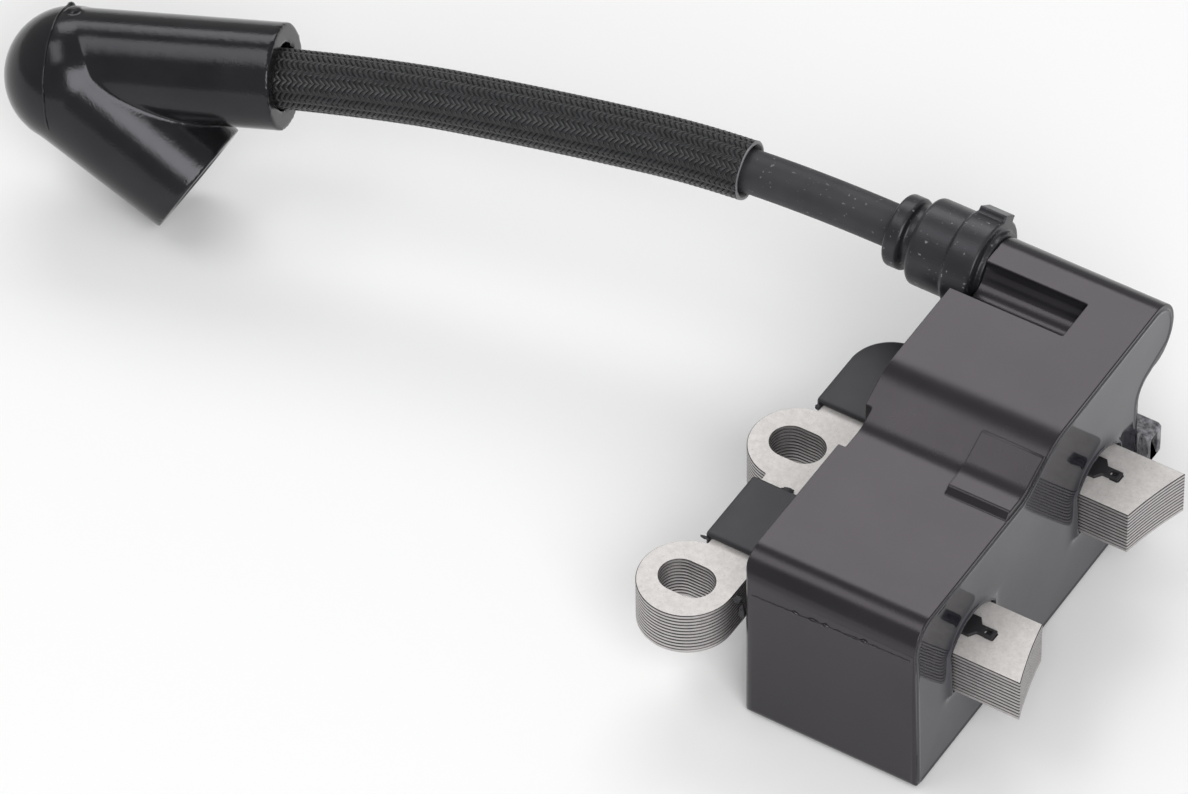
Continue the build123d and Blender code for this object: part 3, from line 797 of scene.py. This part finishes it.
def potting_front(places, edge):
    """How far forward the resin's face stands at each (y, z) place."""
    face = CASE_HIGH.x - RIM_LEAN / RIM_HEIGHT * places[:, 1] + POTTING_PROUD
    wall, _ = distances(places, edge)
    face -= CREASE_DEPTH * np.exp(-wall / CREASE_WIDTH)
    face += BEAD_HEIGHT * np.exp(-((wall - BEAD_PLACE) / BEAD_WIDTH) ** 2)
    ripple = 1 + np.sin(places[:, 0] / RIPPLE_Y) * np.sin(places[:, 1] / RIPPLE_Z + 1)
    face -= RIPPLE_DEPTH * ripple * (1 - np.exp(-wall / RIPPLE_FADE))
    over_leg = smooth_step(places[:, 1], LEG_TOP - FUNNEL_BLEND, LEG_TOP)
    for leg_y in LEG_YS:
        lip_outline = collar_outline(leg_y, LEG_HALF + LIP_OUT, LIP_RISE, LEG_BOTTOM - LIP_DROP)
        lip, in_lip = distances(places, lip_outline)
        funnel = LIP_HEIGHT - over_leg * FUNNEL_DEPTH * np.minimum(lip / FUNNEL_WIDTH, 1)
        face += np.where(in_lip, funnel, LIP_HEIGHT * np.exp(-lip / LIP_FADE))
        gap_outline = collar_outline(leg_y, LEG_HALF + GAP_OUT, GAP_RISE, LEG_BOTTOM)
        gap, in_gap = distances(places, gap_outline)
        face -= GAP_DEPTH * smooth_step(np.where(in_gap, gap, -gap), GAP_EDGE_OUT, GAP_EDGE_IN)
    return face


def potting_fill():
    """The cast resin: flush with the case's rim behind a fine crease, with a raised lip and then a gap
    round each leg."""
    edge = moved_in(case_outline(), POTTING_INSET)
    step = POTTING_STEP
    y_count = int((CASE_HIGH.y - CASE_LOW.y) / step) + 2
    z_count = int((CASE_HIGH.z - CASE_LOW.z) / step) + 2
    ys = CASE_LOW.y - step / 2 + step * np.arange(y_count + 1)
    zs = CASE_LOW.z - step / 2 + step * np.arange(z_count + 1)
    grid = np.stack(np.meshgrid(ys, zs, indexing="ij"), -1).reshape(-1, 2)
    face = potting_front(grid, edge)
    back = CASE_HIGH.x - POTTING_BACK
    work = bmesh.new()
    front_verts = [work.verts.new((x, y, z)) for x, (y, z) in zip(face, grid)]
    back_verts = [work.verts.new((back, y, z)) for y, z in grid]
    columns = z_count + 1
    for i in range(y_count):
        for k in range(z_count):
            a = i * columns + k
            b = a + columns
            work.faces.new((front_verts[a], front_verts[b], front_verts[b + 1], front_verts[a + 1]))
            work.faces.new((back_verts[a + 1], back_verts[b + 1], back_verts[b], back_verts[a]))
    last = y_count * columns
    for a in range(z_count):
        b = last + a
        work.faces.new((front_verts[a], front_verts[a + 1], back_verts[a + 1], back_verts[a]))
        work.faces.new((front_verts[b + 1], front_verts[b], back_verts[b], back_verts[b + 1]))
    for i in range(y_count):
        a = i * columns
        b = a + columns
        work.faces.new((front_verts[b], front_verts[a], back_verts[a], back_verts[b]))
        work.faces.new((front_verts[a + z_count], front_verts[b + z_count], back_verts[b + z_count],
                        back_verts[a + z_count]))
    fill = place_in_scene("potting_fill", mesh_from(work, "potting_fill"), "potting")
    cutter = prism("potting_edge", edge, back + TRIM_FROM_BACK, CASE_HIGH.x + TRIM_PROUD)
    trim = fill.modifiers.new("trim", "BOOLEAN")
    trim.operation = "INTERSECT"
    trim.solver = "EXACT"
    trim.object = cutter
    baked(fill)
    bpy.data.objects.remove(cutter)
    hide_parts("potting_resin", "leg_collar_front", "leg_collar_rear")


def prism(name, outline, x0, x1):
    """A closed solid from an outline drawn as (y, z), carried from x0 to x1."""
    work = bmesh.new()
    low = [work.verts.new((x0, y, z)) for y, z in outline]
    high = [work.verts.new((x1, y, z)) for y, z in outline]
    work.faces.new(low)
    work.faces.new(high[::-1])
    for k in range(len(outline)):
        j = (k + 1) % len(outline)
        work.faces.new((low[k], high[k], high[j], low[j]))
    bmesh.ops.recalc_face_normals(work, faces=work.faces)
    solid = bpy.data.objects.new(name, mesh_from(work, name))
    bpy.context.collection.objects.link(solid)
    return solid


# ---------------------------------------------------------------- moulding marks

SEAM_Z, SEAM_CLIMB = 20.0 * MM, 0.8 * MM
SEAM_STEPS = 160
SEAM_FROM_REAR, SEAM_FROM_ENDS = 1.3 * MM, 2.4 * MM
SEAM_SUNK = 0.02 * MM
SEAM_THIN, SEAM_THICK = 0.11 * MM, 0.26 * MM
# where the seam swells: the middle and spread of each stretch in steps, and its share of the thickness
SEAM_SWELLS = ((62, 26, 1.0), (112, 10, 0.6))

RIDGE_STEPS = 150
# angles round the arm, in degrees
RIDGE_FIRST, RIDGE_LAST, RIDGE_CREST = -50, 140, -20
RIDGE_CREST_HALF = 6
RIDGE_SHIFT = -0.8 * MM
RIDGE_THIN, RIDGE_THICK = 0.13 * MM, 0.3 * MM

FLASH_ROUGH = 0.32
# name, place and half size of each lump of flash, in millimetres
FLASH = [
    ("flash_front_corner", (-12.9, -23.75, 15.65), (0.6, 0.45, 0.25)),
    ("flash_front_edge", (-12.0, -24.4, 14.8), (0.4, 0.3, 1.0)),
    ("flash_front_slot", (-20.85, -17.72, 15.66), (0.55, 0.2, 0.15)),
    ("flash_rear_corner", (-20.4, 5.95, 15.68), (0.35, 0.5, 0.2)),
    ("flash_rear_neck", (-16.7, -7.1, 15.7), (0.75, 0.55, 0.3)),
]


def strip(name, path, radius, slot, sides, body="module"):
    """A thin closed bead along a path; radius gives its half thickness at each point."""
    work = bmesh.new()
    rings = []
    for index, (centre, _, side, other) in enumerate(swept_frames(path)):
        ring = []
        for k in range(sides):
            angle = 2 * math.pi * k / sides
            out = math.cos(angle) * side + math.sin(angle) * other
            ring.append(work.verts.new(centre + out * radius(index)))
        rings.append(ring)
    capped_run(work, rings)
    bmesh.ops.recalc_face_normals(work, faces=work.faces)
    return place_in_scene(name, mesh_from(work, name), slot, body)


def blob(name, place, size, slot, seed):
    """A small lump of moulding flash: a ball squeezed to a size and pushed about by noise."""
    work = bmesh.new()
    bmesh.ops.create_icosphere(work, subdivisions=4, radius=1)
    for vertex in work.verts:
        push = 1 + FLASH_ROUGH * noise.noise(vertex.co * 1.7 + Vector((seed, 0, 0)))
        push += FLASH_ROUGH * 0.5 * noise.noise(vertex.co * 4.1 + Vector((0, seed, 0)))
        vertex.co = Vector(a * b for a, b in zip(vertex.co * push, size))
    mesh = mesh_from(work, name)
    mesh.transform(Matrix.Translation(place))
    return place_in_scene(name, mesh, slot)


def front_seam():
    """The ragged parting line across the front of the case."""
    start = CASE_LOW.x + SEAM_FROM_REAR
    run = CASE_HIGH.x - CASE_LOW.x - SEAM_FROM_ENDS
    path = []
    for n in range(SEAM_STEPS + 1):
        share = n / SEAM_STEPS
        wander = 0.14 * MM * noise.noise(Vector((n * 0.11, 3.1, 0)))
        wander += 0.06 * MM * noise.noise(Vector((n * 0.43, 0, 7)))
        z = SEAM_Z + SEAM_CLIMB * share + wander
        path.append(Vector((start + run * share, CASE_LOW.y + SEAM_SUNK, z)))

    def half_thickness(n):
        """Thin at the ends, and ragged and thick at two stretches between them."""
        swell = sum(part * math.exp(-((n - middle) / spread) ** 2) for middle, spread, part in SEAM_SWELLS)
        torn = max(0.0, 0.35 + noise.noise(Vector((n * 0.16, 5.5, 0))) * 1.6)
        return SEAM_THIN + SEAM_THICK * swell * torn

    return strip("case_seam", path, half_thickness, "case_plastic", sides=10)


def boot_ridge():
    """The parting ridge round the root of the lead arm, with the crest it ends in at the top."""
    side = (arm_dir * plug_dir.dot(arm_dir) - plug_dir).normalized()
    across = arm_dir.cross(side)
    dome_centre = lead_tip - arm_dir * LEAD_END - side * ARM_OFFSET
    radius = math.sqrt(DOME_R ** 2 - RIDGE_SHIFT ** 2)

    def degrees_at(n):
        """The angle round the arm at a step along the ridge."""
        return RIDGE_FIRST + (RIDGE_LAST - RIDGE_FIRST) * n / RIDGE_STEPS

    path = []
    for n in range(RIDGE_STEPS + 1):
        angle = math.radians(degrees_at(n))
        shift = RIDGE_SHIFT + 0.12 * MM * noise.noise(Vector((n * 0.05, 0, 1)))
        out = math.cos(angle) * side + math.sin(angle) * across
        path.append(dome_centre + arm_dir * shift + out * radius)

    def half_thickness(n):
        """A fine bead that swells to a crest at the top."""
        crest = math.exp(-((degrees_at(n) - RIDGE_CREST) / RIDGE_CREST_HALF) ** 2)
        wander = 0.04 * MM * noise.noise(Vector((n * 0.2, 2, 0)))
        return RIDGE_THIN + wander + RIDGE_THICK * crest

    return strip("plug_boot_ridge", path, half_thickness, "boot_rubber", sides=12, body="boot")


# ---------------------------------------------------------------- the pieces

# node, slot and bevel width
SOFTENED = [
    ("case_shell", "case_plastic", 0.14 * MM),
    ("yoke_cover_front", "cover_plastic", 0.35 * MM),
    ("yoke_cover_rear", "cover_plastic", 0.35 * MM),
    ("kill_terminal_shroud", "cover_plastic", 0.2 * MM),
]
LAMINATION_BEVEL = 0.09 * MM
# node, slot, voxel, rounds of smoothing and body
MOULDED = [
    ("plug_boot", "boot_rubber", 0.22 * MM, 8, "boot"),
    ("cable_gland", "gland_rubber", 0.14 * MM, 4, "module"),
    ("core_hook_front", "cover_plastic", 0.07 * MM, 3, "module"),
    ("core_hook_rear", "cover_plastic", 0.07 * MM, 3, "module"),
]

camera()
studio()

for node, slot, width in SOFTENED:
    piece = softened(node, slot, width)
    if node == "kill_terminal_shroud":
        painted(piece.data, WORN_PLASTIC)

for node in frame["nodes"]:
    if node.startswith("core_lamination"):
        softened(node, "lamination_steel", LAMINATION_BEVEL, segments=1)

potting_fill()
for node, slot, voxel, rounds, body in MOULDED:
    moulded(node, slot, voxel, rounds, body)

front_seam()
boot_ridge()
for index, (name, place, size) in enumerate(FLASH):
    blob(name, Vector(place) * MM, Vector(size) * MM, "cover_plastic", seed=3.7 * index)

jacket = lead()
sleeve_pieces = sleeve(centre_line())

# every CAD node takes its slot's material, so that those still showing have one
for entry in record["subparts"]:
    painted(frame["nodes"][entry["node"]].data, MATERIALS[entry["material_slot"]])
